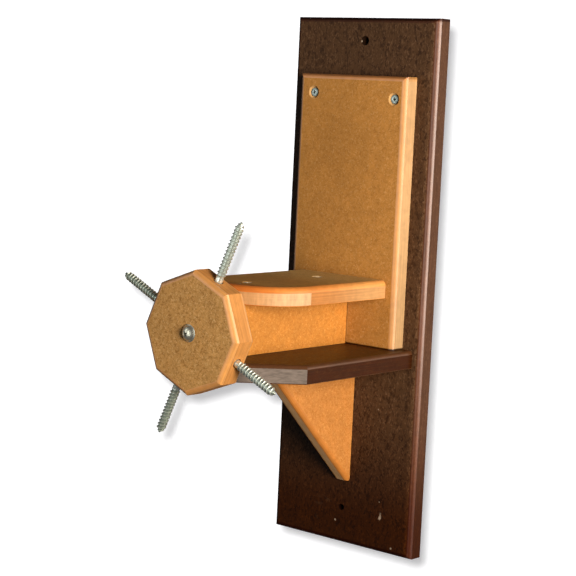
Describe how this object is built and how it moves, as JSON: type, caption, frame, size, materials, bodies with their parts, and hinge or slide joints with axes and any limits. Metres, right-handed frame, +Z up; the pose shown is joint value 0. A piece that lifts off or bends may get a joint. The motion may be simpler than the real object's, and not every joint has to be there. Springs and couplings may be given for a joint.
{
  "type": "squirrel feeder",
  "caption": "Wall-hung squirrel feeder: a back board with a panel, a shelf over a braced seat, and an octagonal wheel that spins on its axle and holds corn cobs on threaded bolts.",
  "frame": {"origin": "middle of the back board's flat back face", "axes": "+Y out of the back face toward the wall, +Z up along the board, +X to the right as seen from the front; the wheel and seat stand toward -Y"},
  "size_m": [0.208, 0.2779, 0.5716],
  "materials": {
    "brown_board": "dark brown composite board, fine grey fibre speckle, eased routed edges",
    "tan_board": "tan composite board, fine speckle, paler routed edges with lengthwise streaks",
    "wheel_board": "tan composite board with a browner speckled face and pale routed edges",
    "zinc_steel": "zinc plated steel, pale yellow-green cast, threads rolled",
    "screw_steel": "zinc plated steel screw",
    "axle_steel": "polished steel screw with a domed head"
  },
  "bodies": {
    "frame": {"back_board": "brown_board", "upper_panel": "tan_board", "lower_shelf": "brown_board", "centre_web": "tan_board", "upper_shelf": "tan_board", "brace": "tan_board", "axle_screw": "axle_steel", "washer": "zinc_steel", "shelf_screw_front": "screw_steel", "shelf_screw_rear": "screw_steel", "web_screw_upper": "screw_steel", "web_screw_lower": "screw_steel", "web_screw_under": "screw_steel", "seat_screw_left": "screw_steel", "seat_screw_right": "screw_steel", "brace_screw_upper": "screw_steel", "brace_screw_lower": "screw_steel", "brace_screw_front": "screw_steel", "brace_screw_rear": "screw_steel", "panel_screw_left": "screw_steel", "panel_screw_right": "screw_steel"},
    "spinner": {"wheel": "wheel_board", "corn_bolt_upper_right": "zinc_steel", "corn_bolt_upper_left": "zinc_steel", "corn_bolt_lower_left": "zinc_steel", "corn_bolt_lower_right": "zinc_steel"}
  },
  "joints": [
    {"name": "spinner_spin", "type": "hinge", "parent": "frame", "child": "spinner", "pos_m": [0, -0.2587, -0.0337], "axis": [0, 1, 0], "continuous": true}
  ]
}
